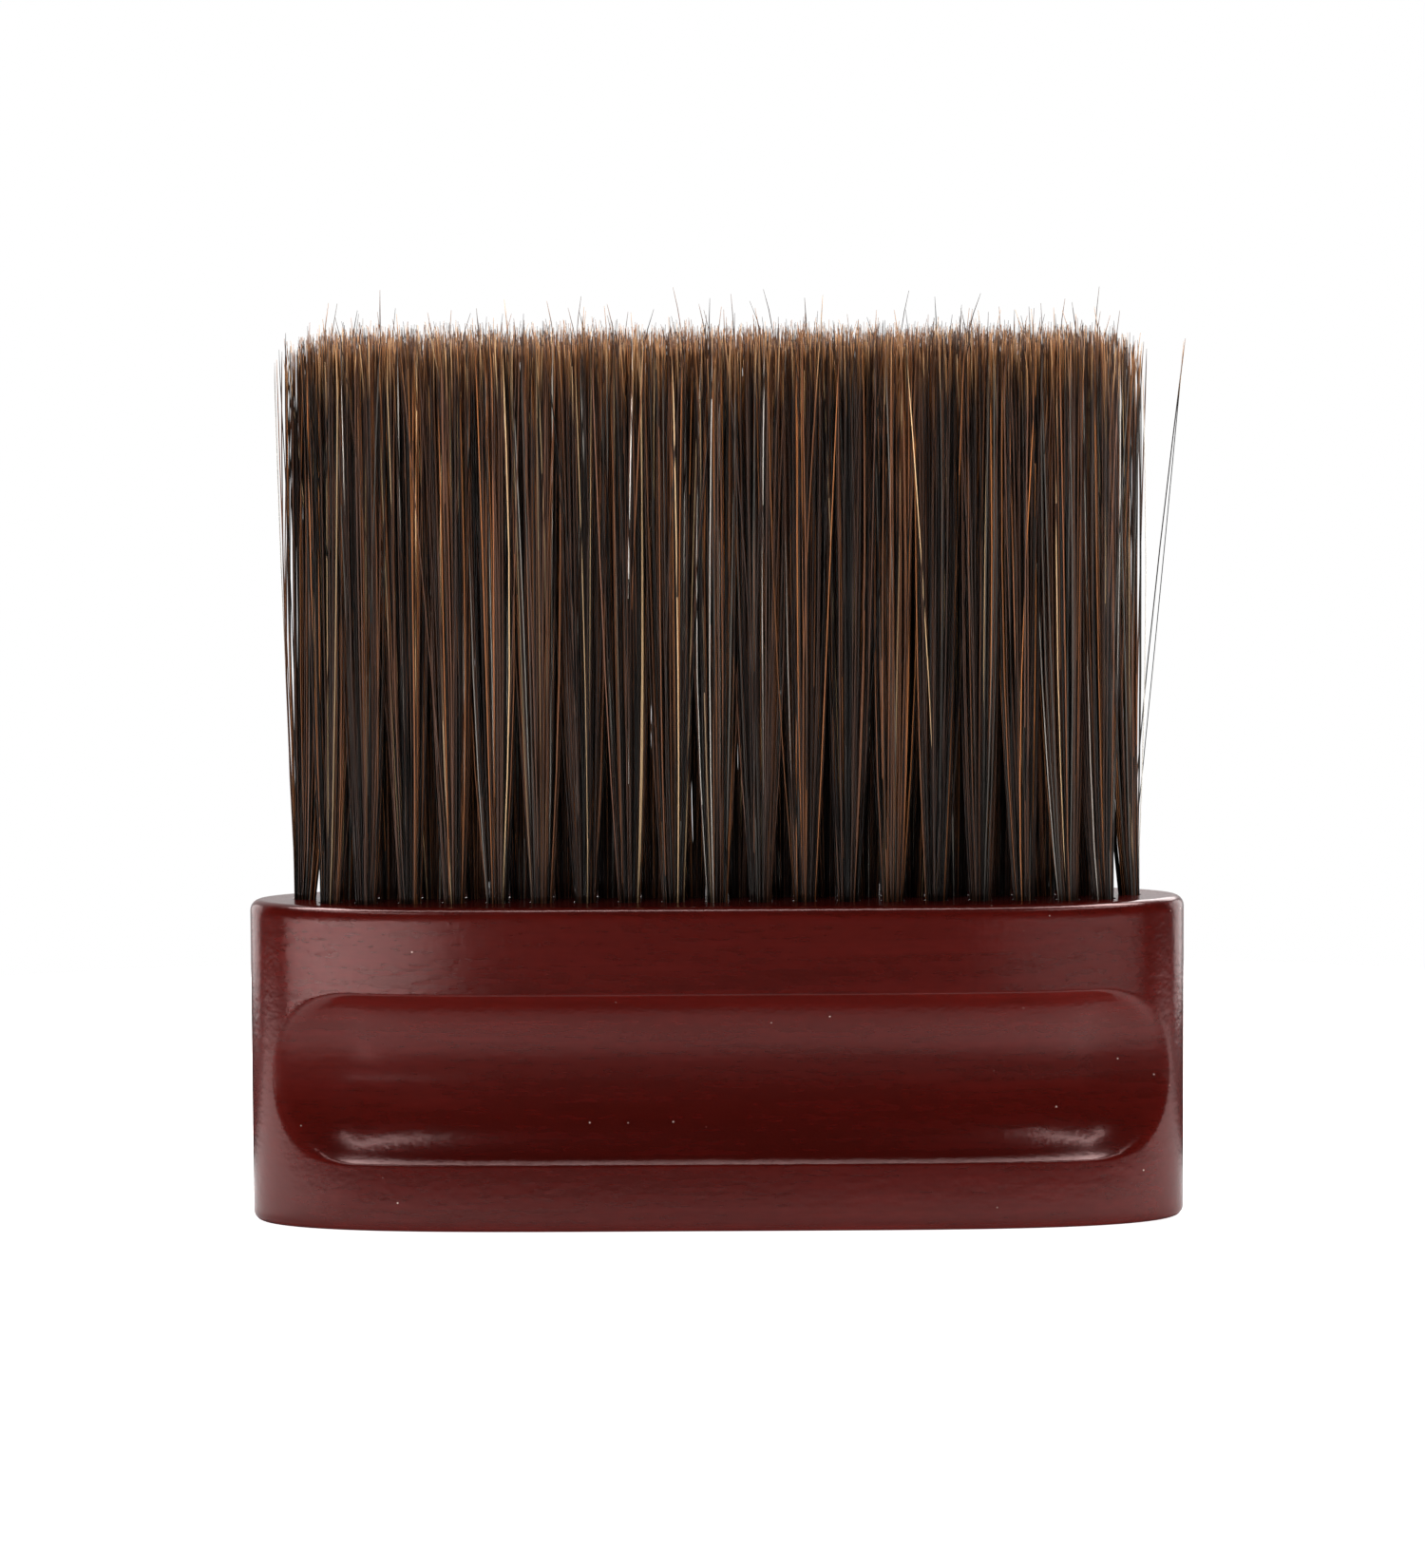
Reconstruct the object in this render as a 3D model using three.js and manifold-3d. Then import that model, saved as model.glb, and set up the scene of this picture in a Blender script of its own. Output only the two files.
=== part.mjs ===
// Neck duster brush: a lacquered wooden grip block that stands on its flat base, with a finger groove
// along each broad face, and three rows of long soft fibre tufts set in blind holes in its top face.
//
// Frame: millimetres, +Z up, X along the block, Y through its thickness. The origin is the centre of
// the base, so the block stands on z = 0 and the fibre tips point straight up.

import * as THREE from 'three';
import { mergeVertices } from 'three/addons/utils/BufferGeometryUtils.js';
import Module from 'manifold-3d';

const wasm = await Module();
wasm.setup();

// ---------------------------------------------------------------- driving dimensions

const block = {
	length: 120,
	thickness: 27,
	height: 41.5,
	squareness: 4.5, // exponent of the plan outline: 2 is an ellipse, and larger is squarer
	edgeRadius: 1.1, // rounding of the top and bottom edges
};

const groove = {
	halfWidth: 10.9,
	depth: 5.2,
	centreHeight: 19.5,
	endX: 50.5, // where the straight run turns into the round end
};

const hole = {
	radius: 1.75,
	depth: 10,
	tipHeight: 1, // cone left by the point of the drill
};

const tuft = {
	length: 73.5, // free length above the block
	rootRadius: 1.45, // where it comes out of its hole
	rootDepth: 9.5, // how far it reaches down its hole
	bodyRadius: 2.35,
};

const layout = {
	pitch: 5.575, // hole spacing along a row
	rowOffset: 5.5, // from the middle row to the front and back rows
	outerCount: 17, // evenly spaced holes in the front row, and in the back row
	innerCount: 16, // evenly spaced holes in the middle row
	innerEnd: 47.2, // the hole that closes each end of the middle row
	corner: { x: 49.2, y: 4.4 }, // the hole that rounds each corner of the pattern
	tip: 52.8, // the hole at each end of the pattern
	splayX: THREE.MathUtils.degToRad(0.6), // outward lean of a tuft at the ends of the pattern
	splayY: THREE.MathUtils.degToRad(1.8), // outward lean of a tuft in the front and back rows
};

const facets = { outline: 88, edge: 3, grooveRound: 48, grooveEnd: 8, grooveLength: 22, hole: 10, tuft: 8 };

// ---------------------------------------------------------------- materials

const lacqueredWood = new THREE.MeshStandardMaterial({ color: 0x56140f, roughness: 0.28, metalness: 0 });
const brownFibre = new THREE.MeshStandardMaterial({ color: 0x3c2a20, roughness: 0.5, metalness: 0 });

// ---------------------------------------------------------------- solids

// A closed three.js geometry as a manifold-3d solid.
function solidFrom(geometry) {
	const bare = geometry.clone();
	bare.deleteAttribute('normal');
	bare.deleteAttribute('uv');
	const merged = mergeVertices(bare, 1e-4);
	return new wasm.Manifold(new wasm.Mesh({
		numProp: 3,
		vertProperties: new Float32Array(merged.attributes.position.array),
		triVerts: new Uint32Array(merged.index.array),
	}));
}

// A manifold-3d solid back as a three.js geometry.
function geometryFrom(solid) {
	const mesh = solid.getMesh();
	const geometry = new THREE.BufferGeometry();
	geometry.setAttribute('position', new THREE.BufferAttribute(mesh.vertProperties, 3));
	geometry.setIndex(new THREE.BufferAttribute(mesh.triVerts, 1));
	geometry.computeVertexNormals();
	return geometry;
}

// A solid of revolution about Z from [radius, height] pairs that start and end on the axis.
function turned(profile, segments) {
	const points = profile.map(([radius, height]) => new THREE.Vector2(radius, height));
	return new THREE.LatheGeometry(points, segments).rotateX(Math.PI / 2);
}

// ---------------------------------------------------------------- tuft pattern

// The hole centres on the top face. The middle row is staggered between the outer rows, and the
// corner and tip holes round off the ends of the pattern.
function holeCentres() {
	const { pitch, rowOffset, outerCount, innerCount, innerEnd, corner, tip } = layout;
	const along = (count) => Array.from({ length: count }, (_, i) => (i - (count - 1) / 2) * pitch);
	const outer = (side) => [
		[-corner.x, side * corner.y],
		...along(outerCount).map((x) => [x, side * rowOffset]),
		[corner.x, side * corner.y],
	];
	return {
		front: outer(-1),
		middle: [-tip, -innerEnd, ...along(innerCount), innerEnd, tip].map((x) => [x, 0]),
		back: outer(1),
	};
}

// The pose of a hole and its tuft: the point where it meets the top face, and its outward lean.
function tuftPose([x, y]) {
	const leanX = layout.splayX * (x / layout.tip);
	const leanY = layout.splayY * (y / layout.rowOffset);
	return new THREE.Matrix4().compose(
		new THREE.Vector3(x, y, block.height),
		new THREE.Quaternion().setFromEuler(new THREE.Euler(-leanY, leanX, 0)),
		new THREE.Vector3(1, 1, 1),
	);
}

// ---------------------------------------------------------------- grip block

// Half the block's thickness at a place x along it. The plan outline is a superellipse: two gently
// bowed faces that turn into round ends.
function halfThickness(x) {
	const { length, thickness, squareness } = block;
	return thickness / 2 * Math.sqrt(1 - Math.abs(2 * x / length) ** squareness);
}

// The slope of the front face's outline, as the rate at which it falls back per millimetre of x.
function faceSlope(x) {
	const { length, thickness, squareness } = block;
	const along = Math.abs(2 * x / length);
	const rate = (thickness / length) * (squareness / 2) * along ** (squareness - 1);
	return Math.sign(x) * rate / Math.sqrt(1 - along ** squareness);
}

function blockOutline() {
	const { length, thickness, squareness } = block;
	const points = Array.from({ length: facets.outline }, (_, i) => {
		const angle = 2 * Math.PI * i / facets.outline;
		const along = Math.sign(Math.cos(angle)) * Math.abs(Math.cos(angle)) ** (2 / squareness);
		return new THREE.Vector2(length / 2 * along, thickness / 2 * Math.sin(angle));
	});
	return new THREE.Shape(points);
}

function blockBlank() {
	const { height, edgeRadius } = block;
	return new THREE.ExtrudeGeometry(blockOutline(), {
		depth: height - 2 * edgeRadius,
		bevelEnabled: true,
		bevelThickness: edgeRadius,
		bevelSize: edgeRadius,
		bevelOffset: -edgeRadius,
		bevelSegments: facets.edge,
	}).translate(0, 0, edgeRadius);
}

// The tool that leaves a groove: a long capsule bent to follow the bow of the face, so that the
// groove has one depth all along and a round end. Side is -1 for the front face, 1 for the back.
function grooveCutter(side) {
	const { halfWidth, depth, centreHeight, endX } = groove;
	const radius = (halfWidth ** 2 + depth ** 2) / (2 * depth);
	const capsule = new THREE.CapsuleGeometry(
		radius, 2 * endX, facets.grooveEnd, facets.grooveRound, facets.grooveLength,
	).rotateZ(-Math.PI / 2);
	const place = capsule.attributes.position;
	for (let i = 0; i < place.count; i += 1) {
		const foot = THREE.MathUtils.clamp(place.getX(i), -endX, endX);
		const lean = Math.atan(faceSlope(foot));
		const beyond = place.getX(i) - foot;
		const outward = radius - depth + place.getY(i);
		place.setXYZ(
			i,
			foot + outward * Math.sin(lean) + beyond * Math.cos(lean),
			side * (halfThickness(foot) + outward * Math.cos(lean) - beyond * Math.sin(lean)),
			centreHeight + side * place.getZ(i),
		);
	}
	return capsule;
}

function holeCutter() {
	const { radius, depth, tipHeight } = hole;
	const overrun = 2;
	return turned([[0, -depth - tipHeight], [radius, -depth], [radius, overrun], [0, overrun]], facets.hole);
}

function gripBlock(centres) {
	const blank = solidFrom(blockBlank());
	const grooved = [-1, 1].reduce((body, side) => body.subtract(solidFrom(grooveCutter(side))), blank);
	const drill = holeCutter();
	const drilled = centres.reduce(
		(body, centre) => body.subtract(solidFrom(drill.clone().applyMatrix4(tuftPose(centre)))),
		grooved,
	);
	return new THREE.Mesh(geometryFrom(drilled), lacqueredWood);
}

// ---------------------------------------------------------------- tufts

// The outer shape of one bundle of fibres: narrow where it is gripped, fuller towards the tips, and
// rounded over at the top. It bulges outward all the way up.
function tuftGeometry() {
	const { length, rootRadius, rootDepth, bodyRadius } = tuft;
	const swell = bodyRadius - rootRadius;
	return turned([
		[0, -rootDepth],
		[rootRadius - 0.25 * swell, -rootDepth],
		[rootRadius, 0],
		[rootRadius + 0.65 * swell, 0.3 * length],
		[bodyRadius, 0.62 * length],
		[bodyRadius, 0.9 * length],
		[bodyRadius - 0.75 * swell, length],
		[0, length],
	], facets.tuft);
}

// ---------------------------------------------------------------- assembly

const brush = new THREE.Group();
const rows = holeCentres();

const handle = gripBlock(Object.values(rows).flat());
handle.name = 'handle';
brush.add(handle);

const bundle = tuftGeometry();
for (const [row, centres] of Object.entries(rows)) {
	centres.forEach((centre, i) => {
		const mesh = new THREE.Mesh(bundle, brownFibre);
		mesh.name = `tuft_${row}_${String(i + 1).padStart(2, '0')}`;
		mesh.applyMatrix4(tuftPose(centre));
		brush.add(mesh);
	});
}

export default brush;
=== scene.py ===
"""A neck duster brush: a lacquered mahogany-red grip block with 58 fine fibre tufts.

Metres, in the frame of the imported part: +Z up, X along the block, front face towards -Y.
"""
import math

import bmesh
import bpy
import numpy as np
from mathutils import Euler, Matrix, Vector
from mathutils.geometry import delaunay_2d_cdt


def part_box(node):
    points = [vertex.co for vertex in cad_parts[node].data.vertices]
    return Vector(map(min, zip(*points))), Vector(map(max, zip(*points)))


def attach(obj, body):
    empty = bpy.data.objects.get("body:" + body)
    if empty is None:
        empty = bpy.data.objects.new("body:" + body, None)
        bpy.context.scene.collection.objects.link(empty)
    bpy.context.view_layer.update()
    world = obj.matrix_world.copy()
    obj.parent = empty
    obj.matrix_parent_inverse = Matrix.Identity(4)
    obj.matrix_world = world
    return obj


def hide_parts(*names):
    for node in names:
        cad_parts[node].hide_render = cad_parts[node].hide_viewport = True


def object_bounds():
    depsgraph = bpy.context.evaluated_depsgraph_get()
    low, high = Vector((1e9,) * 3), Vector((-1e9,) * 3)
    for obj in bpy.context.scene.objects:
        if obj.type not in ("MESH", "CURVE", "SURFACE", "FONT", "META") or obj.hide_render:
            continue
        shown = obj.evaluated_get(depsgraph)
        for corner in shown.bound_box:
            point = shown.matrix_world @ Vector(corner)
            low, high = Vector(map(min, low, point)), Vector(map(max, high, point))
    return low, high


MM = 0.001

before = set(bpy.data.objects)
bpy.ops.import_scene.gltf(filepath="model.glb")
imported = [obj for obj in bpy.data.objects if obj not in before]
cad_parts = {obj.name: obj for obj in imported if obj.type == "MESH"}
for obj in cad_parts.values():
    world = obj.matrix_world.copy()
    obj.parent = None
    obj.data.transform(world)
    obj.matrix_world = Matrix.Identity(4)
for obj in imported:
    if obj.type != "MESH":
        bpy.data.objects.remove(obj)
cad_low, cad_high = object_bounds()

# ---------------------------------------------------------------- sizes, from the frame

block_low, block_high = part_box("handle")
HALF_LENGTH = (block_high[0] - block_low[0]) / 2
HALF_THICKNESS = (block_high[1] - block_low[1]) / 2
BLOCK_TOP = block_high[2]
FIBRE_LENGTH = cad_high[2] - BLOCK_TOP

SQUARENESS = 4.5  # exponent of the block's plan outline
TOP_RADIUS = 1.4 * MM
BASE_RADIUS = 1.3 * MM

GROOVE_HALF_WIDTH = 10.9 * MM
GROOVE_DEPTH = 5.2 * MM
GROOVE_CENTRE = 19.5 * MM
GROOVE_END_X = 56.9 * MM
GROOVE_END_LENGTH = 10.9 * MM  # of the rounded run at each end
FRONT_GROOVE_SHIFT = 0.7 * MM  # the front groove sits this far to the right of centre
EDGE_SOFTNESS = 0.2 * MM  # of the groove's long edges
END_SOFTNESS = 1.1 * MM  # of the groove's ends
SOFTENING_RUN = 0.7 * GROOVE_HALF_WIDTH  # over which the one turns into the other

HOLE_RADIUS = 1.48 * MM
HOLE_DEPTH = 10 * MM
HOLE_TIP = 1 * MM  # height of the cone below that
RIM_RADIUS = 0.12 * MM
FLAT_MARGIN = 0.4 * MM  # ring of flat faces beside a rounded edge, so that it shades cleanly
HOLE_LOOP = HOLE_RADIUS + RIM_RADIUS + FLAT_MARGIN / 2  # where a hole's rim joins the flat top

ROW_OFFSET = 5.5 * MM
TIP_X = 52.8 * MM
LEAN_X = math.radians(0.6)
LEAN_Y = math.radians(1.8)

OUTLINE_POINTS = 600
HOLE_POINTS = 20


def lean_x(x):
    """How far a hole or tuft leans along X for each metre that it rises."""
    return math.tan(LEAN_X * x / TIP_X)


def lean_y(y):
    return math.tan(LEAN_Y * y / ROW_OFFSET)


LEAN_PASSES = 8  # each one brings the root closer, because the lean depends on it


def tuft_root(node):
    """Where a tuft's centre line meets the block's top face: its CAD solid is straight and leans."""
    low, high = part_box(node)
    x, y = (low[0] + high[0]) / 2, (low[1] + high[1]) / 2
    rise = (low[2] + high[2]) / 2 - BLOCK_TOP
    for _ in range(LEAN_PASSES):
        x = (low[0] + high[0]) / 2 - lean_x(x) * rise
        y = (low[1] + high[1]) / 2 - lean_y(y) * rise
    return x, y


TUFTS = {name: tuft_root(name) for name in sorted(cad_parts) if name.startswith("tuft_")}

# ---------------------------------------------------------------- helpers

def srgb(red, green, blue):
    """A linear colour from 8-bit sRGB values."""
    def linear(value):
        value /= 255
        return value / 12.92 if value <= 0.04045 else ((value + 0.055) / 1.055) ** 2.4
    return linear(red), linear(green), linear(blue), 1.0


def mesh_object(name, vertices, faces):
    mesh = bpy.data.meshes.new(name)
    mesh.from_pydata(vertices, [], faces)
    mesh.validate()
    mesh.polygons.foreach_set("use_smooth", [True] * len(mesh.polygons))
    piece = bpy.data.objects.new(name, mesh)
    bpy.context.scene.collection.objects.link(piece)
    return piece


class Graph:
    """A node tree. Its calls take numbers, colours or output sockets, and return output sockets."""

    def __init__(self, tree):
        self.tree = tree
        tree.nodes.clear()

    def add(self, kind, **settings):
        node = self.tree.nodes.new(kind)
        for key, value in settings.items():
            setattr(node, key, value)
        return node

    def feed(self, node, **values):
        """Links or sets a node's inputs; an underscore in a name stands for a space."""
        for name, value in values.items():
            self.join(node.inputs[name.replace("_", " ")], value)

    def join(self, socket, value):
        if isinstance(value, bpy.types.NodeSocket):
            self.tree.links.new(value, socket)
        else:
            socket.default_value = value

    def ramp(self, value, *stops):
        """A colour that depends on a value, from (value, colour) pairs."""
        node = self.add("ShaderNodeValToRGB")
        elements = node.color_ramp.elements
        while len(elements) < len(stops):
            elements.new(0.5)
        for element, (position, colour) in zip(elements, stops):
            element.position = position
            element.color = colour
        self.feed(node, Fac=value)
        return node.outputs["Color"]

    def mix(self, kind, factor, first, second):
        """A blend of two colours. The node's sockets share their names, so they go by number."""
        node = self.add("ShaderNodeMix", data_type="RGBA", blend_type=kind)
        for index, value in ((0, factor), (6, first), (7, second)):
            self.join(node.inputs[index], value)
        return node.outputs[2]

    def math(self, operation, *values):
        node = self.add("ShaderNodeMath", operation=operation)
        for socket, value in zip(node.inputs, values):
            self.join(socket, value)
        return node.outputs["Value"]

    def ease(self, value, start, end, low, high):
        """A smooth change from low to high, while a value runs from start to end."""
        node = self.add("ShaderNodeMapRange", interpolation_type="SMOOTHSTEP")
        self.feed(node, Value=value, From_Min=start, From_Max=end, To_Min=low, To_Max=high)
        return node.outputs["Result"]

    def noise(self, scale, detail, stretch=(1, 1, 1), roughness=0.5, distortion=0.0):
        """Noise over the object's own coordinates, in metres; stretch scales each axis."""
        place = self.add("ShaderNodeTexCoord").outputs["Object"]
        mapping = self.add("ShaderNodeMapping")
        self.feed(mapping, Vector=place, Scale=stretch)
        noise = self.add("ShaderNodeTexNoise")
        self.feed(noise, Vector=mapping.outputs["Vector"], Scale=scale, Detail=detail)
        self.feed(noise, Roughness=roughness, Distortion=distortion)
        return noise.outputs["Fac"]


class Material(Graph):
    """A material with one Principled shader."""

    def __init__(self, name):
        self.data = bpy.data.materials.new(name)
        self.data.use_nodes = True
        super().__init__(self.data.node_tree)
        self.shader = self.add("ShaderNodeBsdfPrincipled")
        output = self.add("ShaderNodeOutputMaterial")
        self.feed(output, Surface=self.shader.outputs["BSDF"])


BLACK = (0.0, 0.0, 0.0, 1.0)
WHITE = (1.0, 1.0, 1.0, 1.0)

# ---------------------------------------------------------------- materials

DUST_CELLS = 420.0  # for each metre; a cell holds one speck or none
DUST_SIZE = 0.06  # of a speck, as a share of its cell
DUSTY_CELLS = 0.62  # a cell holds a speck where its random grey is above this
BUMP_STRENGTH, BUMP_DEPTH = 0.4, 0.05 * MM


def stained_colour(m):
    """Red-brown with fine grain and pores along X, and broad drifts from darker to lighter."""
    grain = m.noise(60, 3, stretch=(0.8, 9, 18), distortion=0.15)
    broad = m.noise(18, 3, stretch=(0.7, 3, 5))
    pores = m.noise(260, 1, stretch=(1.2, 9, 9))
    fibres = m.noise(1300, 1, stretch=(0.35, 1, 1.3))
    base = m.ramp(grain, (0.30, srgb(64, 8, 4)), (0.52, srgb(68, 9, 5)), (0.72, srgb(73, 11, 7)))
    drift = m.ramp(broad, (0.35, srgb(228, 222, 222)), (0.65, WHITE))
    mottle = m.ramp(fibres, (0.30, srgb(236, 230, 230)), (0.70, WHITE))
    flecks = m.ramp(pores, (0.62, WHITE), (0.76, srgb(195, 180, 180)))
    colour = m.mix("MULTIPLY", 1.0, m.mix("MULTIPLY", 1.0, base, drift), mottle)
    return m.mix("MULTIPLY", 0.12, colour, flecks)


def dust_specks(m):
    """White at a few tiny pale specks, and black elsewhere: only some of the cells hold one."""
    cells = m.add("ShaderNodeTexVoronoi")
    m.feed(cells, Vector=m.add("ShaderNodeTexCoord").outputs["Object"], Scale=DUST_CELLS)
    speck = m.ramp(cells.outputs["Distance"], (0.0, WHITE), (DUST_SIZE, BLACK))
    chosen = m.ramp(cells.outputs["Color"], (DUSTY_CELLS, BLACK), (DUSTY_CELLS + 0.02, WHITE))
    return m.mix("MULTIPLY", 1.0, speck, chosen)


def lacquered_wood():
    """Stained wood in a slightly uneven lacquer that mirrors with a warm tint."""
    m = Material("lacquered_wood")
    colour = m.mix("MIX", dust_specks(m), stained_colour(m), srgb(205, 190, 180))
    bump = m.add("ShaderNodeBump")
    uneven = m.math("ADD", m.noise(1300, 1), m.noise(600, 1, stretch=(0.6, 1, 1.4)))
    m.feed(bump, Height=uneven, Strength=BUMP_STRENGTH, Distance=BUMP_DEPTH)
    m.feed(m.shader, Base_Color=colour, Normal=bump.outputs["Normal"])
    m.feed(m.shader, Roughness=0.2, Specular_IOR_Level=0.75, Specular_Tint=(1.0, 0.62, 0.60, 1.0))
    return m.data


def fibre():
    """Satin hair: each filament carries its own tint, darkened by painted shade towards its root, and
    turns lighter and warmer at its tip.
    """
    m = Material("brown_fibre")
    tint = m.add("ShaderNodeVertexColor", layer_name="tint")
    split = m.add("ShaderNodeSeparateXYZ")
    m.feed(split, Vector=m.add("ShaderNodeUVMap", uv_map="OFBake").outputs["UV"])
    along = split.outputs["Y"]  # 0 at the root and 1 at the tip
    # painted shade: each fibre is darker towards its root, deep in the tuft, and clears towards its
    # tip
    fade = m.ramp(along, (0.0, srgb(172, 172, 172)), (0.35, srgb(220, 220, 220)), (0.86, WHITE))
    painted_shade_tint = m.mix("MULTIPLY", 1.0, tint.outputs["Color"], fade)
    tip = m.ramp(along, (0.90, BLACK), (0.975, (0.85, 0.85, 0.85, 1.0)))
    ginger = m.ramp(
        tint.outputs["Alpha"],
        (0.0, srgb(30, 20, 14)),
        (0.40, srgb(64, 38, 22)),
        (0.62, srgb(126, 78, 42)),
        (0.85, srgb(186, 128, 76)),
        (1.0, srgb(228, 184, 134)),
    )
    m.feed(m.shader, Base_Color=m.mix("MIX", tip, painted_shade_tint, ginger), Roughness=0.38)
    return m.data


def steel():
    m = Material("anchor_wire")
    scratches = m.noise(900, 3, stretch=(1, 6, 6))
    shade = m.ramp(scratches, (0.3, srgb(150, 149, 146)), (0.7, srgb(188, 187, 183)))
    m.feed(m.shader, Base_Color=shade, Metallic=1.0, Roughness=0.35)
    return m.data


# ---------------------------------------------------------------- grip block

OUTLINE_TABLE_STEPS = 20000
DIRECTION_STEP = 0.2 * MM  # to either side of a point, to find the outline's direction there
ROUND_ROWS = 7  # of vertices in the rounding of the top or base edge
SIDE_ROWS = 84  # between those
GROOVE_EDGE_ROWS = 15  # closer ones across each long edge of the groove
GROOVE_EDGE_SPAN = 3 * EDGE_SOFTNESS  # how far they reach above and below it
RIM_ROWS = 4
SHARP_ANGLE = math.radians(50)


def outline_run():
    """The plan outline from the +X end, anticlockwise, as dense points and their arc positions."""
    angle = np.linspace(0, 2 * np.pi, OUTLINE_TABLE_STEPS + 1)
    x = HALF_LENGTH * np.sign(np.cos(angle)) * np.abs(np.cos(angle)) ** (2 / SQUARENESS)
    y = HALF_THICKNESS * np.sin(angle)
    run = np.concatenate([[0], np.cumsum(np.hypot(np.diff(x), np.diff(y)))])
    return x, y, run


def outline(count):
    """Points spaced evenly along the plan outline, their outward normals and arc positions."""
    x, y, run = outline_run()
    whole = run[-1]

    def at(place):
        place = place % whole
        return np.stack([np.interp(place, run, x), np.interp(place, run, y)], 1)

    place = np.arange(count) / count * whole
    along = at(place + DIRECTION_STEP) - at(place - DIRECTION_STEP)
    along /= np.linalg.norm(along, axis=1)[:, None]
    return at(place), np.stack([along[:, 1], -along[:, 0]], 1), place


def face_arc(x_end):
    """The distance along the outline from the middle of a face to a place x_end along it."""
    x, _, run = outline_run()
    quarter = OUTLINE_TABLE_STEPS // 4
    return run[quarter] - np.interp(x_end, x[quarter::-1], run[quarter::-1])


def groove_inset(arc, front, height, end_arc):
    """How far the groove sinks in at an arc position along its face and a height, with soft edges.

    Its section is part of a circle, and its ends are round. Front is true where the arc position
    belongs to the front face.
    """
    radius = (GROOVE_HALF_WIDTH ** 2 + GROOVE_DEPTH ** 2) / (2 * GROOVE_DEPTH)
    arc = arc - FRONT_GROOVE_SHIFT * front
    beyond = np.maximum(np.abs(arc) - (end_arc - GROOVE_END_LENGTH), 0)
    beyond = beyond * GROOVE_HALF_WIDTH / GROOVE_END_LENGTH
    reach = np.hypot(height - GROOVE_CENTRE, beyond)
    sunk = np.sqrt(np.maximum(radius ** 2 - reach ** 2, 0)) - (radius - GROOVE_DEPTH)
    soft = np.interp(beyond, [0, SOFTENING_RUN], [EDGE_SOFTNESS, END_SOFTNESS])
    overlap = np.maximum(soft - np.abs(sunk), 0) / soft
    return np.maximum(sunk, 0) + overlap ** 2 * soft / 4


def block_rows():
    """Heights and edge insets of the block's side from base to top, closest together at edges."""
    turn = np.linspace(0, np.pi / 2, ROUND_ROWS)
    low = [(BASE_RADIUS * (1 - math.cos(a)), BASE_RADIUS * (1 - math.sin(a))) for a in turn]
    high = [
        (BLOCK_TOP - TOP_RADIUS * (1 - math.sin(a)), TOP_RADIUS * (1 - math.cos(a)))
        for a in turn
    ]
    straight = list(np.linspace(BASE_RADIUS, BLOCK_TOP - TOP_RADIUS, SIDE_ROWS)[1:-1])
    close = np.linspace(-GROOVE_EDGE_SPAN, GROOVE_EDGE_SPAN, GROOVE_EDGE_ROWS)
    gap = 3.4 * EDGE_SOFTNESS  # a little past the close rows
    for edge in (GROOVE_CENTRE - GROOVE_HALF_WIDTH, GROOVE_CENTRE + GROOVE_HALF_WIDTH):
        straight = [z for z in straight if abs(z - edge) > gap] + list(edge + close)
    return low + [(z, 0.0) for z in sorted(straight)] + high


def ring_faces(first, second, count):
    """Quads between two rings of vertices that start at these indices."""
    return [
        (first + i, first + (i + 1) % count, second + (i + 1) % count, second + i)
        for i in range(count)
    ]


def flat_faces(vertices, loops, holes):
    """Triangles that fill the first loop of vertices apart from the other loops, the holes."""
    flat = [index for loop in loops for index in loop]
    number = {index: i for i, index in enumerate(flat)}
    edges = [(number[a], number[b]) for loop in loops for a, b in zip(loop, loop[1:] + loop[:1])]
    points = [Vector(vertices[index][:2]) for index in flat]
    _, _, triangles, origins, _, _ = delaunay_2d_cdt(points, edges, [], 1, 1e-9)
    centres = np.array(holes)
    inside = HOLE_LOOP * math.cos(math.pi / HOLE_POINTS)
    faces = []
    for triangle in triangles:
        corners = tuple(flat[origins[i][0]] for i in triangle)
        middle = np.mean([vertices[i][:2] for i in corners], axis=0)
        if np.hypot(*(centres - middle).T).min() > inside:
            faces.append(corners)
    return faces


def grip_block(holes):
    plan, normal, place = outline(OUTLINE_POINTS)
    vertices, faces = [], []

    quarter = face_arc(HALF_LENGTH)
    front = place > 2 * quarter
    arc = np.where(front, place - 3 * quarter, place - quarter)
    end_arc = face_arc(GROOVE_END_X)

    rows = block_rows()
    for height, edge in rows:
        inset = edge + groove_inset(arc, front, height, end_arc)
        ring = plan - normal * inset[:, None]
        vertices += [(x, y, height) for x, y in ring]
    for row in range(len(rows) - 1):
        faces += ring_faces(row * OUTLINE_POINTS, (row + 1) * OUTLINE_POINTS, OUTLINE_POINTS)

    def flat_ring(height, inset):
        ring = plan - normal * inset
        start = len(vertices)
        vertices.extend((x, y, height) for x, y in ring)
        return start

    base = flat_ring(0, BASE_RADIUS + FLAT_MARGIN)
    faces += ring_faces(base, 0, OUTLINE_POINTS)
    faces.append(tuple(reversed(range(base, base + OUTLINE_POINTS))))
    top = flat_ring(BLOCK_TOP, TOP_RADIUS + FLAT_MARGIN)
    faces += ring_faces((len(rows) - 1) * OUTLINE_POINTS, top, OUTLINE_POINTS)

    loops = [list(range(top, top + OUTLINE_POINTS))]
    for x, y in holes:
        loops.append(drilled_hole(vertices, faces, x, y))
    faces += flat_faces(vertices, loops, holes)

    block = mesh_object("grip_block", vertices, faces)
    shape = bmesh.new()
    shape.from_mesh(block.data)
    bmesh.ops.recalc_face_normals(shape, faces=shape.faces)
    shape.to_mesh(block.data)
    shape.free()
    block.data.set_sharp_from_angle(angle=SHARP_ANGLE)
    return block


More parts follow.
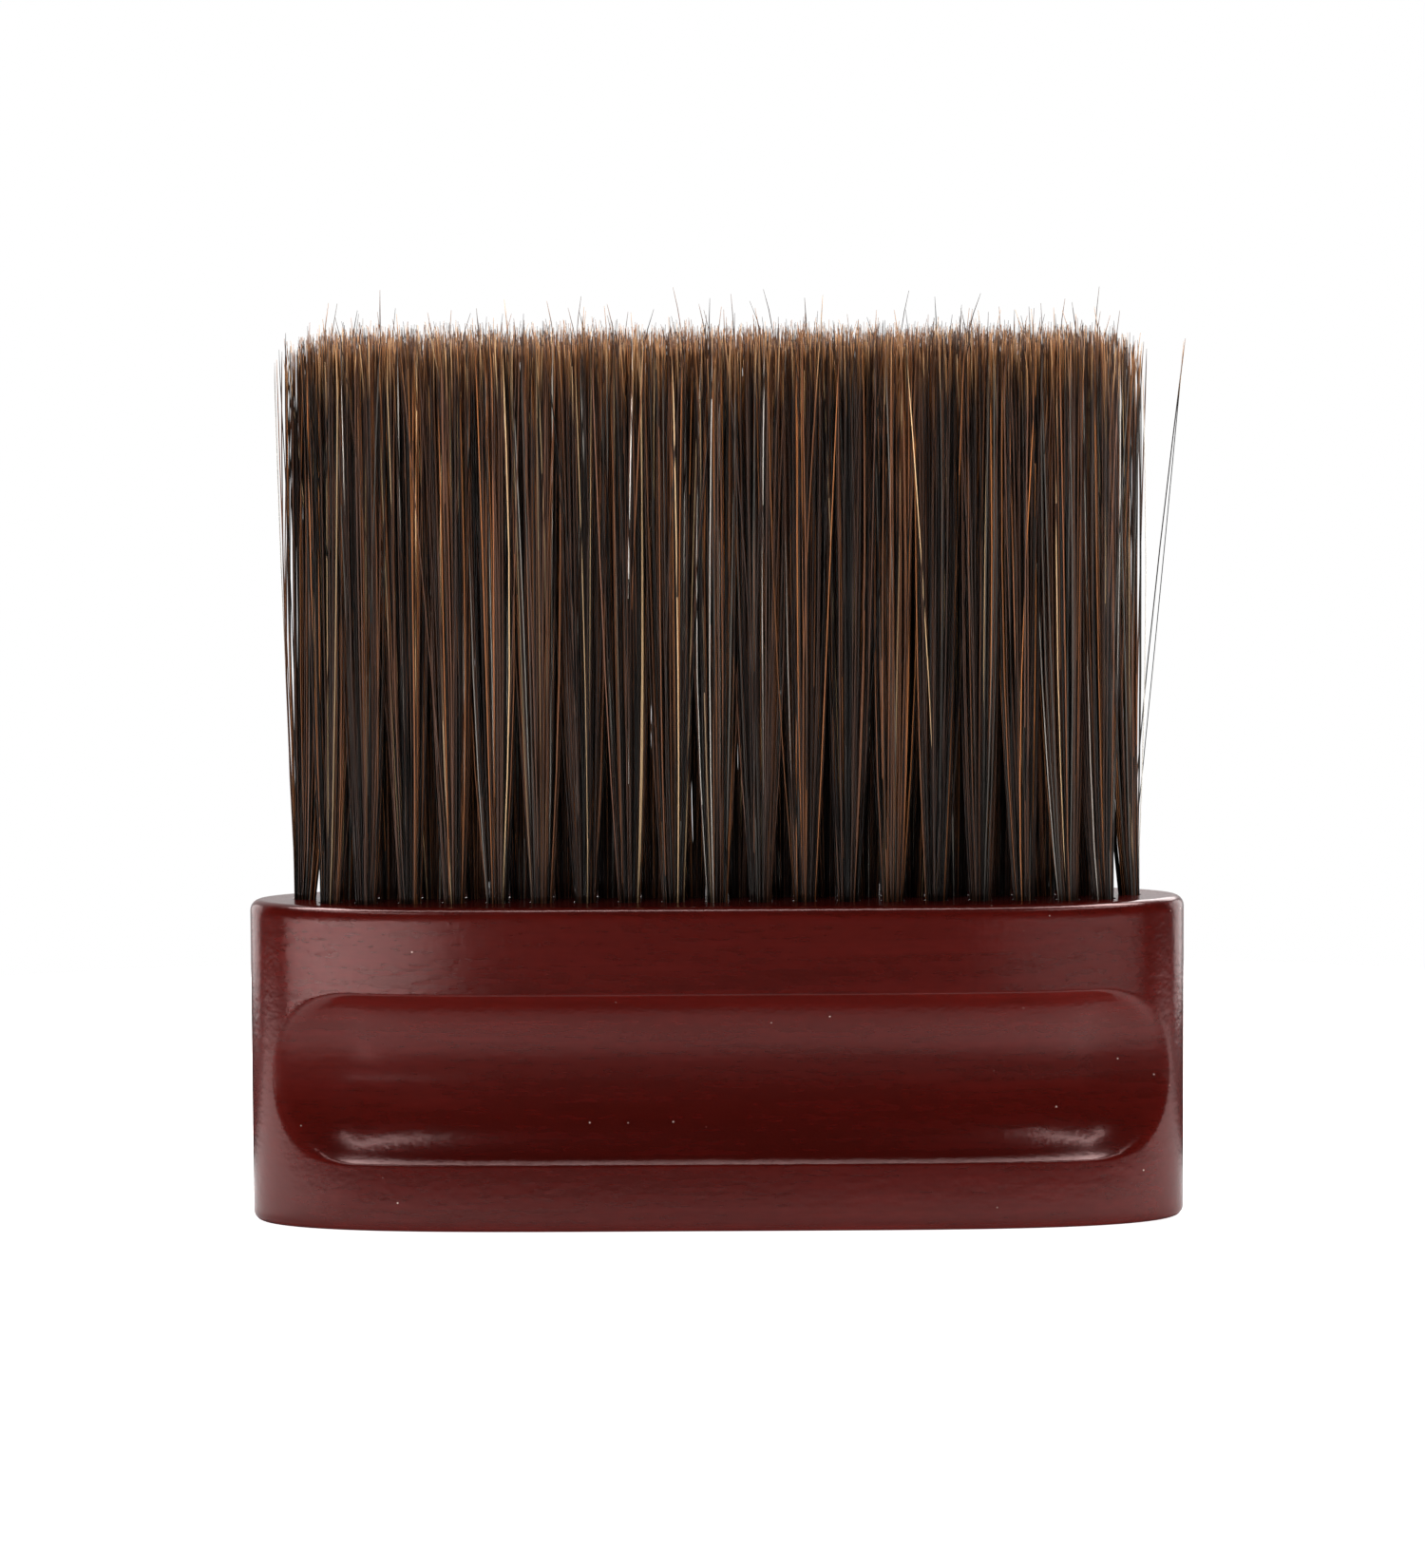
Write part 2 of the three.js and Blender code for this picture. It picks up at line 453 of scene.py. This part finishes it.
def drilled_hole(vertices, faces, x, y):
    """Adds a blind hole with a softened rim, and returns the loop where it meets the flat top."""
    turn = np.arange(HOLE_POINTS) / HOLE_POINTS * 2 * np.pi
    levels = [(HOLE_LOOP, 0)]
    for a in np.linspace(0, np.pi / 2, RIM_ROWS):
        levels.append((HOLE_RADIUS + RIM_RADIUS * (1 - math.sin(a)), RIM_RADIUS * (math.cos(a) - 1)))
    levels.append((HOLE_RADIUS, -HOLE_DEPTH))
    starts = []
    for radius, depth in levels:
        starts.append(len(vertices))
        cx, cy = x + lean_x(x) * depth, y + lean_y(y) * depth
        for a in turn:
            vertices.append((cx + radius * math.cos(a), cy + radius * math.sin(a), BLOCK_TOP + depth))
    for upper, lower in zip(starts, starts[1:]):
        faces.extend(ring_faces(lower, upper, HOLE_POINTS))
    point = len(vertices)
    depth = -HOLE_DEPTH - HOLE_TIP
    vertices.append((x + lean_x(x) * depth, y + lean_y(y) * depth, BLOCK_TOP + depth))
    last = starts[-1]
    faces.extend((point, last + i, last + (i + 1) % HOLE_POINTS) for i in range(HOLE_POINTS))
    return list(range(starts[0], starts[0] + HOLE_POINTS))


# ---------------------------------------------------------------- fibre tufts

FILAMENTS = 170  # in each tuft
SIDES = 3  # of a filament's section
ROOT_RADIUS = 1.30 * MM  # of the bundle where it leaves its hole
SPREAD = 2.0 * MM  # how much wider the bundle grows towards its tips
SPREAD_HEIGHT = 30 * MM  # over which two thirds of that come about
# Heights of a filament's rings, from down in its hole to its tip.
LEVELS = np.array([-8.0, -1.0, 7.0, 17.0, 30.0, 46.0, 60.0, 67.0, 71.0, 73.5]) * MM
FILAMENT_RADIUS = 0.092 * MM
THICKNESSES = (0.75, 1.2)  # least and most, as shares of that
TIP_RADIUS = 0.03 * MM
TAPER = 5 * MM  # length of the thinner run below the tip
TAPER_POWER = 0.7

# Lengths: most fibres end close together, a few reach over them and a quarter end below.
MEAN_DROP = 1.45 * MM
LENGTH_SPREAD = 0.8 * MM
RIM_DROP = 0.5 * MM  # how much shorter the fibres at the rim of a tuft are
END_DROP = 0.4 * MM  # how much shorter the tufts at the ends are
CORNER_DROP = 30 * MM  # and how fast the fibres beyond the last tuft's centre get shorter still
CORNER_REACH = 3 * MM  # of a tuft's rim from its centre, for that
LONGER_SHARE, LONGER_SHAPE, LONGER_BY = 0.045, 1.5, 1.1 * MM
SHORTER_SHARE, SHORTER_SHAPE, SHORTER_BY = 0.25, 1.5, 2.2 * MM

# Bends: every fibre drifts from its place and bows, some stray further, and the tips curl.
DRIFT = 0.55 * MM
DRIFT_POWER = 1.5
STRAY_SHARE = 0.14
STRAY_DRIFT = 2.2 * MM
BOW = 0.35 * MM
CURL = 0.3 * MM
LONGER_CURL = 0.7 * MM
CURL_START = 0.88  # as a share of the free length
CURL_LIMIT = 1.6  # the curl grows no further on the longest fibres

HEAD_POWER = 0.6  # the head's shift grows as this power of the height
HEAD_SHIFT = (  # how far the tips stand aside of a straight tuft, at places along the head
    (-TIP_X, -40 * MM, 28 * MM, TIP_X),
    (2.2 * MM, 0.0, 0.0, -2.6 * MM),
)
LONG_STRAYS = {  # hairs that stand away at the right end: sideways reach, and how late it comes
    "tuft_middle_20": ((7.2 * MM, 0.95), (7.4 * MM, 1.25)),
}

TINTS = [  # sRGB colour, and its share of the filaments
    ((30, 23, 19), 0.27),
    ((60, 42, 34), 0.22),
    ((94, 62, 46), 0.22),
    ((124, 77, 48), 0.12),
    ((166, 102, 56), 0.07),
    ((92, 86, 80), 0.05),
    ((204, 168, 124), 0.03),
    ((236, 228, 216), 0.025),
]
PALE_TINTS = 5  # from this one on, the tints only come as single hairs
CLUMPS = 2.2  # cells of fibres that tend to match, from a tuft's centre to its rim
CLUMP_ROW = 6  # cells in a row, to number them by
CLUMP_SHARE = 0.35  # of the fibres that take their clump's tint
SHARE_RANGE = (0.6, 1.4)  # how much the tints' shares change from tuft to tuft
SHADE_MEAN, SHADE_SPREAD = -0.05, 0.42  # of the logarithm of a fibre's brightness

TUFT_SEED = 4100
STRIP_MARGIN = 0.1  # left free at both sides of a filament's strip of the UV map
END_MARGIN = 0.004  # and at its two ends, where the caps lie
CAP_PLACES = (0.998, 0.001)  # of the tip's cap and the root's cap


def filament_tints(rng, clump):
    """One linear colour for each filament, with a random value as its alpha; clumps mostly match."""
    colours = np.array([srgb(*colour)[:3] for colour, _ in TINTS])
    shares = np.array([share for _, share in TINTS])
    shares = shares * rng.uniform(*SHARE_RANGE, len(shares))
    shares /= shares.sum()
    own = rng.choice(len(TINTS), FILAMENTS, p=shares)
    shared = rng.choice(len(TINTS), clump.max() + 1, p=shares)[clump]
    matching = (rng.random(FILAMENTS) < CLUMP_SHARE) & (shared < PALE_TINTS)
    pick = np.where(matching, shared, own)
    shade = colours[pick] * np.exp(rng.normal(SHADE_MEAN, SHADE_SPREAD, (FILAMENTS, 1)))
    return np.hstack([shade, rng.random((FILAMENTS, 1))])


def filament_lengths(rng, x, unit):
    """The free length of every filament of a tuft at x, and whether it is one of the longer ones."""
    reach = np.linalg.norm(unit, axis=1)
    length = FIBRE_LENGTH + rng.normal(-MEAN_DROP, LENGTH_SPREAD, FILAMENTS) - RIM_DROP * reach ** 2
    outward = np.maximum(np.abs(x + unit[:, 0] * CORNER_REACH) / TIP_X - 1, 0)
    length -= END_DROP * (x / TIP_X) ** 4 + CORNER_DROP * outward
    longer = rng.random(FILAMENTS) < LONGER_SHARE
    length += np.where(longer, rng.gamma(LONGER_SHAPE, LONGER_BY, FILAMENTS), 0)
    shorter = rng.random(FILAMENTS) < SHORTER_SHARE
    length -= np.where(shorter, rng.gamma(SHORTER_SHAPE, SHORTER_BY, FILAMENTS), 0)
    return length, longer


def sideways_run(rng, unit, free, longer):
    """How far every filament stands aside of its tuft's centre line at each level, as XY."""
    radius = ROOT_RADIUS + SPREAD * (1 - np.exp(-free / SPREAD_HEIGHT))
    drift = rng.normal(0, DRIFT, (FILAMENTS, 2))
    stray = rng.random(FILAMENTS) < STRAY_SHARE
    drift += np.where(stray[:, None], rng.normal(0, STRAY_DRIFT, (FILAMENTS, 2)), 0)
    bow = rng.normal(0, BOW, (FILAMENTS, 2))
    curl = rng.normal(0, np.where(longer, LONGER_CURL, CURL)[:, None], (FILAMENTS, 2))
    part = (free / FIBRE_LENGTH)[:, :, None]
    curled = np.clip((part - CURL_START) / (1 - CURL_START), 0, CURL_LIMIT) ** 2
    run = unit[:, None, :] * radius[:, :, None] + drift[:, None, :] * part ** DRIFT_POWER
    return run + bow[:, None, :] * np.sin(np.pi * part) + curl[:, None, :] * curled


def filament_paths(rng, node, x, y):
    """The centre line of every filament of one tuft, as an array of filament, level and XYZ."""
    angle = rng.uniform(0, 2 * np.pi, FILAMENTS)
    reach = np.sqrt(rng.random(FILAMENTS))
    unit = np.stack([np.cos(angle), np.sin(angle)], 1) * reach[:, None]
    length, longer = filament_lengths(rng, x, unit)

    share = (LEVELS - LEVELS[0]) / (LEVELS[-1] - LEVELS[0])
    height = LEVELS[0] + share * (length[:, None] - LEVELS[0])
    free = np.maximum(height, 0)
    part = free / FIBRE_LENGTH
    sideways = sideways_run(rng, unit, free, longer)
    path = np.empty((FILAMENTS, len(LEVELS), 3))
    path[:, :, 0] = x + lean_x(x) * height + sideways[:, :, 0]
    path[:, :, 0] += np.interp(x, *HEAD_SHIFT) * part ** HEAD_POWER
    path[:, :, 1] = y + lean_y(y) * height + sideways[:, :, 1]
    path[:, :, 2] = BLOCK_TOP + height
    for number, (sway, power) in enumerate(LONG_STRAYS.get(node, ())):
        path[number, :, 0] = x + sway * part[number] ** power
    cell = np.floor(unit * CLUMPS) + CLUMP_ROW / 2
    clump = (cell[:, 0] + CLUMP_ROW * cell[:, 1]).astype(int)
    return path, clump, share


def filament_radii(paths, thickness):
    """The half thickness at every level: even along the hair, then a fine taper to the tip."""
    to_tip = paths[:, -1:, 2] - paths[:, :, 2]
    slim = np.clip(to_tip / TAPER, 0, 1) ** TAPER_POWER
    return TIP_RADIUS + (FILAMENT_RADIUS * thickness[:, None] - TIP_RADIUS) * slim


def tube_faces(count, levels):
    """Faces of closed tubes, as the wall quads' vertices, their side and level steps, and the caps."""
    per = levels * SIDES
    start = np.arange(count)[:, None, None] * per
    level, side = np.meshgrid(np.arange(levels - 1), np.arange(SIDES), indexing="ij")
    a = level * SIDES + side
    b = level * SIDES + (side + 1) % SIDES
    quads = np.stack([a, b, b + SIDES, a + SIDES], -1).reshape(-1, 4)
    strip = np.stack([side, side + 1, side + 1, side], -1).reshape(-1, 4)
    rung = np.stack([level, level, level + 1, level + 1], -1).reshape(-1, 4)
    caps = np.stack([np.arange(per - SIDES, per), np.arange(SIDES)[::-1]])
    return quads[None] + start, strip, rung, caps[None] + start


def tube_uvs(count, strip, rung, share):
    """UVs in which every filament has its own strip, with its root at the bottom."""
    number = np.arange(count)[:, None, None]
    u = (number + STRIP_MARGIN + (1 - 2 * STRIP_MARGIN) * strip[None] / SIDES) / count
    v = np.broadcast_to(END_MARGIN + (1 - 2 * END_MARGIN) * share[rung][None], u.shape)
    wall = np.stack([u, v], -1).reshape(-1, 2)
    cap_u = (number + STRIP_MARGIN + (1 - 2 * STRIP_MARGIN) * np.arange(SIDES) / SIDES) / count
    cap_u = np.broadcast_to(cap_u, (count, 2, SIDES))
    cap_v = np.broadcast_to(np.array(CAP_PLACES)[None, :, None], cap_u.shape)
    return np.concatenate([wall, np.stack([cap_u, cap_v], -1).reshape(-1, 2)])


def tuft_mesh(name, paths, radii, colours, share):
    """All the filaments as thin closed tubes in one mesh, with their UVs and their tints."""
    count, levels = radii.shape
    turn = np.arange(SIDES) / SIDES * 2 * np.pi
    around = np.stack([np.cos(turn), np.sin(turn), np.zeros(SIDES)], 1)
    vertices = paths[:, :, None, :] + radii[:, :, None, None] * around[None, None]
    quads, strip, rung, caps = tube_faces(count, levels)
    corners = np.concatenate([quads.ravel(), caps.ravel()])
    sizes = np.concatenate([np.full(quads.size // 4, 4), np.full(2 * count, SIDES)])

    mesh = bpy.data.meshes.new(name)
    mesh.vertices.add(count * levels * SIDES)
    mesh.vertices.foreach_set("co", vertices.ravel())
    mesh.loops.add(len(corners))
    mesh.loops.foreach_set("vertex_index", corners)
    mesh.polygons.add(len(sizes))
    mesh.polygons.foreach_set("loop_start", np.concatenate([[0], np.cumsum(sizes)[:-1]]))
    mesh.polygons.foreach_set("use_smooth", np.ones(len(sizes), bool))
    mesh.update(calc_edges=True)

    layer = mesh.uv_layers.new(name="OFBake")
    layer.data.foreach_set("uv", tube_uvs(count, strip, rung, share).ravel())
    tint = mesh.color_attributes.new("tint", "FLOAT_COLOR", "POINT")
    tint.data.foreach_set("color", np.repeat(colours[:, None, :], levels * SIDES, axis=1).ravel())
    piece = bpy.data.objects.new(name, mesh)
    bpy.context.scene.collection.objects.link(piece)
    return piece


def fibre_tuft(node, number):
    rng = np.random.default_rng(TUFT_SEED + number)
    x, y = TUFTS[node]
    paths, clump, share = filament_paths(rng, node, x, y)
    radii = filament_radii(paths, rng.uniform(*THICKNESSES, FILAMENTS))
    colours = filament_tints(rng, clump)
    return tuft_mesh(node.replace("tuft", "fibres"), paths, radii, colours, share)


# ---------------------------------------------------------------- tuft anchors

WIRE_RADIUS = 0.18 * MM
WIRE_SIDES = 8
ANCHOR_HALF_WIDTH = 1.25 * MM
ANCHOR_BEND = 0.35 * MM
ANCHOR_LEG = 0.9 * MM
ANCHOR_DEPTH = 7.9 * MM
ANCHOR_SEED = 77
BEND_POINTS = 5


def anchor_line():
    """The centre line of one anchor: a bar across the hole with both ends bent down into the wood."""
    bend = np.linspace(0, np.pi / 2, BEND_POINTS)
    inner = ANCHOR_HALF_WIDTH - ANCHOR_BEND
    right = [(inner + ANCHOR_BEND * math.sin(a), ANCHOR_BEND * (math.cos(a) - 1)) for a in bend]
    right.append((ANCHOR_HALF_WIDTH, -ANCHOR_BEND - ANCHOR_LEG))
    left = [(-x, z) for x, z in reversed(right)]
    return np.array(left + right)


def tuft_anchors():
    """The staple at the bottom of every hole, turned at random: they are all one piece."""
    rng = np.random.default_rng(ANCHOR_SEED)
    line = anchor_line()
    along = np.gradient(line, axis=0)
    along /= np.linalg.norm(along, axis=1)[:, None]
    turn = np.arange(WIRE_SIDES) / WIRE_SIDES * 2 * np.pi
    vertices, faces = [], []
    for x, y in TUFTS.values():
        yaw = rng.uniform(0, np.pi)
        cx, cy = x - lean_x(x) * ANCHOR_DEPTH, y - lean_y(y) * ANCHOR_DEPTH
        first = len(vertices)
        for (reach, drop), (step, fall) in zip(line, along):
            for a in turn:
                out = reach - fall * WIRE_RADIUS * math.cos(a)
                side = WIRE_RADIUS * math.sin(a)
                vertices.append((
                    cx + out * math.cos(yaw) - side * math.sin(yaw),
                    cy + out * math.sin(yaw) + side * math.cos(yaw),
                    BLOCK_TOP - ANCHOR_DEPTH + drop + step * WIRE_RADIUS * math.cos(a),
                ))
        for ring in range(len(line) - 1):
            start = first + ring * WIRE_SIDES
            faces += ring_faces(start + WIRE_SIDES, start, WIRE_SIDES)
        last = first + (len(line) - 1) * WIRE_SIDES
        faces.append(tuple(range(first, first + WIRE_SIDES)))
        faces.append(tuple(reversed(range(last, last + WIRE_SIDES))))
    anchors = mesh_object("tuft_anchors", vertices, faces)
    anchors.data.set_sharp_from_angle(angle=SHARP_ANGLE)
    return anchors


# ---------------------------------------------------------------- camera and lights

CAMERA_PLACE = (-0.0014, -0.7976, 0.1280)
CAMERA_TARGET = (-0.0005, 0.0, 0.0560)
CAMERA_ROLL = math.radians(-0.3)
CAMERA_LENS = 143.3
CAMERA_CLIP = 0.01

LIGHT_TARGET = Vector((0, 0, 0.03))
LIGHTS = [
    # name, azimuth and elevation in degrees, distance, width and height in metres, watts
    ("left_softbox", -58, 57, 0.60, 0.46, 0.05, 0.32),
    ("right_softbox", 64, 56, 0.60, 0.46, 0.045, 0.34),
    ("left_strip", -42, -6, 0.60, 0.68, 0.02, 0.42),
    ("right_strip", 40, -6, 0.60, 0.60, 0.02, 0.09),
    ("left_side", -127, 8, 0.70, 0.50, 0.50, 1.0),
    ("right_side", 125, 8, 0.70, 0.50, 0.50, 1.2),
    ("overhead", 180, 78, 0.60, 0.80, 0.34, 8.0),
    ("back_softbox", 165, 35, 0.70, 0.60, 0.40, 2.5),
]
FRONT_FILL = ("front_fill", -22, 8, 0.30, 0.16, 0.16, 0.14)

BACKDROP = 1.0  # the world's brightness to the camera
FILL = 0.42  # and as light on the brush
MIRRORED_FRONT, MIRRORED_BACK = 0.01, 0.62  # and in reflections, in front of and behind the brush
MIRRORED_RUN = (0.25, 0.75)  # of the direction's Y, from the one to the other


def look_at(item, place, target, roll=0.0):
    item.location = place
    turn = (Vector(target) - Vector(place)).to_track_quat("-Z", "Y")
    item.rotation_euler = (turn @ Euler((0, 0, roll)).to_quaternion()).to_euler()


def add_camera():
    camera = bpy.data.objects.new("camera", bpy.data.cameras.new("camera"))
    camera.data.lens = CAMERA_LENS
    camera.data.clip_start = CAMERA_CLIP
    look_at(camera, CAMERA_PLACE, CAMERA_TARGET, CAMERA_ROLL)
    bpy.context.scene.collection.objects.link(camera)
    bpy.context.scene.camera = camera


def softbox(name, azimuth, elevation, distance, width, height, watts):
    """An oval area light. Azimuth 0 is in front of the brush, and positive is to its right."""
    light = bpy.data.lights.new(name, "AREA")
    light.shape = "ELLIPSE"
    light.size, light.size_y = width, height
    light.energy = watts
    lamp = bpy.data.objects.new(name, light)
    turn, rise = math.radians(azimuth), math.radians(elevation)
    away = Vector((
        math.sin(turn) * math.cos(rise), -math.cos(turn) * math.cos(rise), math.sin(rise),
    ))
    look_at(lamp, LIGHT_TARGET + distance * away, LIGHT_TARGET)
    lamp.visible_camera = False
    bpy.context.scene.collection.objects.link(lamp)
    return lamp


def add_lights():
    for light in LIGHTS:
        softbox(*light)
    softbox(*FRONT_FILL).visible_glossy = False


def studio_world():
    """White to the camera and soft grey as light; in reflections it is dark, and pale behind."""
    world = bpy.data.worlds.new("studio")
    world.use_nodes = True
    g = Graph(world.node_tree)
    rays = g.add("ShaderNodeLightPath").outputs
    direction = g.add("ShaderNodeSeparateXYZ")
    g.feed(direction, Vector=g.add("ShaderNodeTexCoord").outputs["Generated"])
    mirrored = g.ease(direction.outputs["Y"], *MIRRORED_RUN, MIRRORED_FRONT, MIRRORED_BACK)

    def background(strength):
        node = g.add("ShaderNodeBackground")
        g.feed(node, Color=WHITE, Strength=strength)
        return node.outputs["Background"]

    def choose(factor, first, second):
        node = g.add("ShaderNodeMixShader")
        for socket, value in zip(node.inputs, (factor, first, second)):
            g.join(socket, value)
        return node.outputs["Shader"]

    lighting = choose(rays["Is Glossy Ray"], background(FILL), background(mirrored))
    surface = choose(rays["Is Camera Ray"], lighting, background(BACKDROP))
    g.feed(g.add("ShaderNodeOutputWorld"), Surface=surface)
    bpy.context.scene.world = world


# ---------------------------------------------------------------- floor

FLOOR_RADIUS = 0.3
FLOOR_FADE = (0.26, 0.29)  # distances between which the floor fades out
FLOOR_GAP = 0.02 * MM  # below the base, so that the two don't coincide
FLOOR_POINTS = 96
FLOOR_COLOUR = (0.95, 0.95, 0.95, 1.0)

# The floor's brightness changes with the distance from the brush's middle plane, y = 0.
MIRROR_RUN = (0.022, 0.058)
MIRROR_NEAR, MIRROR_FAR = 0.56, 0.02  # in reflections, at the start and the end of that run
BOUNCE_RUN = (0.030, 0.090)
BOUNCE_NEAR, BOUNCE_FAR = 1.7, 0.8  # as light that it sends up onto the brush
SPILL = 0.3  # brightness of the lit part of the floor, off the left end of the block
SPILL_START = (-0.060, -0.068)  # where that part begins along X
SPILL_DEPTH = (0.058, 0.046)  # and how far it reaches from the middle plane


def floor_glow(m, x, gap, rays):
    """The floor's own light: white to the camera, soft light to the brush, and the lit part."""
    spill = m.ease(x, *SPILL_START, 0.0, SPILL)
    lit = m.math("MULTIPLY", m.ease(gap, *SPILL_DEPTH, 0.0, 1.0), spill)
    bounce = m.ease(gap, *BOUNCE_RUN, BOUNCE_NEAR, BOUNCE_FAR)
    soft = m.math("MULTIPLY_ADD", rays["Is Diffuse Ray"], bounce, lit)
    return m.math("ADD", rays["Is Camera Ray"], soft)


def floor_paper():
    """Pale paper that fades out to the backdrop, and that is clear when seen from below."""
    m = Material("floor_paper")
    rays = m.add("ShaderNodeLightPath").outputs
    place = m.add("ShaderNodeTexCoord").outputs["Object"]
    axes = m.add("ShaderNodeSeparateXYZ")
    m.feed(axes, Vector=place)
    gap = m.math("ABSOLUTE", axes.outputs["Y"])

    shade = m.ramp(m.noise(40, 3), (0.3, (0.92, 0.92, 0.92, 1.0)), (0.7, WHITE))
    dim = m.ease(gap, *MIRROR_RUN, MIRROR_NEAR, MIRROR_FAR)
    mirrored = m.mix("MULTIPLY", 1.0, shade, dim)
    colour = m.mix("MIX", rays["Is Glossy Ray"], FLOOR_COLOUR, mirrored)

    distance = m.add("ShaderNodeVectorMath", operation="LENGTH")
    m.join(distance.inputs[0], place)
    fade = m.ease(distance.outputs["Value"], *FLOOR_FADE, 1.0, 0.0)
    below = m.add("ShaderNodeNewGeometry").outputs["Backfacing"]
    alpha = m.math("MULTIPLY", fade, m.math("SUBTRACT", 1.0, below))

    glow = floor_glow(m, axes.outputs["X"], gap, rays)
    m.feed(m.shader, Base_Color=colour, Roughness=0.9, Specular_IOR_Level=0.0, Alpha=alpha)
    m.feed(m.shader, Emission_Color=WHITE, Emission_Strength=glow)
    return m.data


def pale_floor():
    shape = bmesh.new()
    bmesh.ops.create_circle(shape, cap_ends=True, segments=FLOOR_POINTS, radius=FLOOR_RADIUS)
    mesh = bpy.data.meshes.new("floor")
    shape.to_mesh(mesh)
    shape.free()
    mesh.materials.append(floor_paper())
    floor = bpy.data.objects.new("floor", mesh)
    floor.location.z = -FLOOR_GAP
    bpy.context.scene.collection.objects.link(floor)


# ---------------------------------------------------------------- assembly

def finish_piece(piece, material, slot, *nodes):
    piece.data.materials.append(material)
    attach(piece, "root")
    if nodes:
        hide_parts(*nodes)


def build():
    wood, hair = lacquered_wood(), fibre()
    block = grip_block(list(TUFTS.values()))
    finish_piece(block, wood, "lacquered_wood", "handle")
    for number, node in enumerate(TUFTS):
        finish_piece(fibre_tuft(node, number), hair, "brown_fibre", node)
    finish_piece(tuft_anchors(), steel(), "anchor_wire")


build()
add_camera()
studio_world()
pale_floor()
add_lights()
bpy.context.scene.view_settings.view_transform = "Standard"
